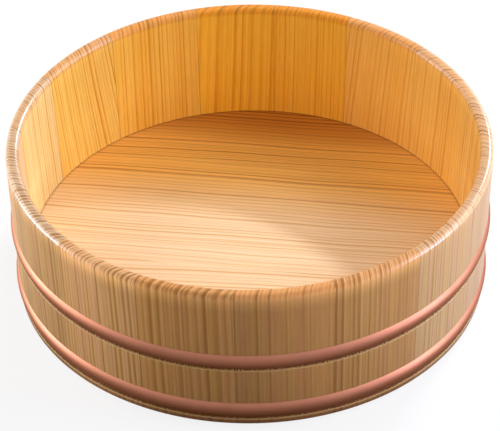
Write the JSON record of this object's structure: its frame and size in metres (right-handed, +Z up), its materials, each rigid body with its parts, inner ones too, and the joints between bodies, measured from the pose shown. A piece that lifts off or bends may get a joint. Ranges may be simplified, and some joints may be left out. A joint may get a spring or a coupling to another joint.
{
  "type": "coopered rice tub",
  "caption": "Open, shallow coopered tub for rice: softwood staves and a boarded floor, bound by two crowned copper hoops.",
  "frame": {"origin": "on the tub's axis, in the plane that its foot stands on", "axes": "+Z up along the tub's axis, +X along the floor boards, +Y towards the back of the tub as pictured"},
  "size_m": [0.3298, 0.3298, 0.113],
  "materials": {
    "stave_wood": "satin",
    "floor_wood": "satin",
    "hoop_copper": "satin",
    "peg_bamboo": "satin"
  },
  "bodies": {
    "root": {"stave_01": "stave_wood", "stave_02": "stave_wood", "stave_03": "stave_wood", "stave_04": "stave_wood", "stave_05": "stave_wood", "stave_06": "stave_wood", "stave_07": "stave_wood", "stave_08": "stave_wood", "stave_09": "stave_wood", "stave_10": "stave_wood", "stave_11": "stave_wood", "stave_12": "stave_wood", "stave_13": "stave_wood", "stave_14": "stave_wood", "stave_15": "stave_wood", "stave_16": "stave_wood", "floor_board_1": "floor_wood", "floor_board_2": "floor_wood", "floor_board_3": "floor_wood", "floor_board_4": "floor_wood", "floor_board_5": "floor_wood", "upper_hoop": "hoop_copper", "lower_hoop": "hoop_copper", "stave_pegs": "peg_bamboo", "floor_pegs": "peg_bamboo"}
  },
  "joints": []
}
